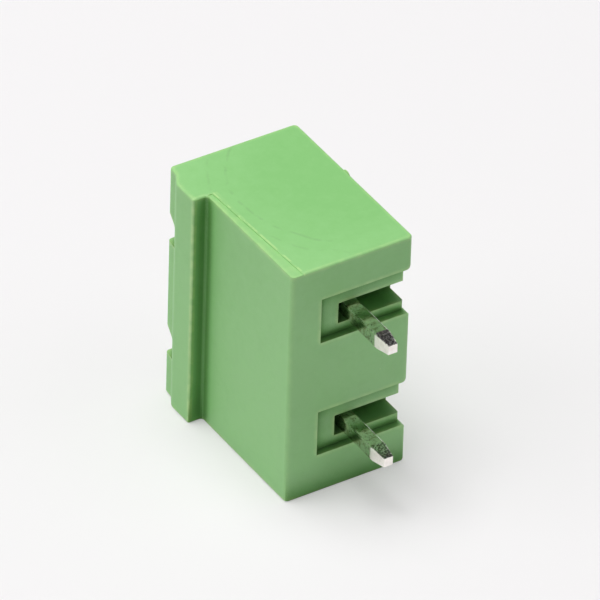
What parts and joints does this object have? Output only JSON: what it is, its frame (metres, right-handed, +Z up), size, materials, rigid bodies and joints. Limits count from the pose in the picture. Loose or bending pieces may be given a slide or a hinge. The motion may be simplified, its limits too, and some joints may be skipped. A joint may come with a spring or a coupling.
{
  "type": "pin header for a pluggable terminal block",
  "caption": "Straight square-pin board header with closed ends: a moulded housing with a plug cavity, a ramped latch lip and stand-off pads, carrying straight solder pins.",
  "frame": {"origin": "middle of the whole part's footprint, pin tails included, in the plane of the closed end that it stands on", "axes": "+Z up, along the row of poles; +Y from the board face towards the plug mouth; +X from the latch side to the plain side"},
  "size_m": [0.0088, 0.0158, 0.0152],
  "materials": {
    "moulding": "green moulded polyamide, slightly satin",
    "tinned_pin": "bright tin plate over brass"
  },
  "bodies": {
    "root": {"housing": "moulding", "contact_pin_1": "tinned_pin", "contact_pin_2": "tinned_pin"}
  },
  "joints": []
}
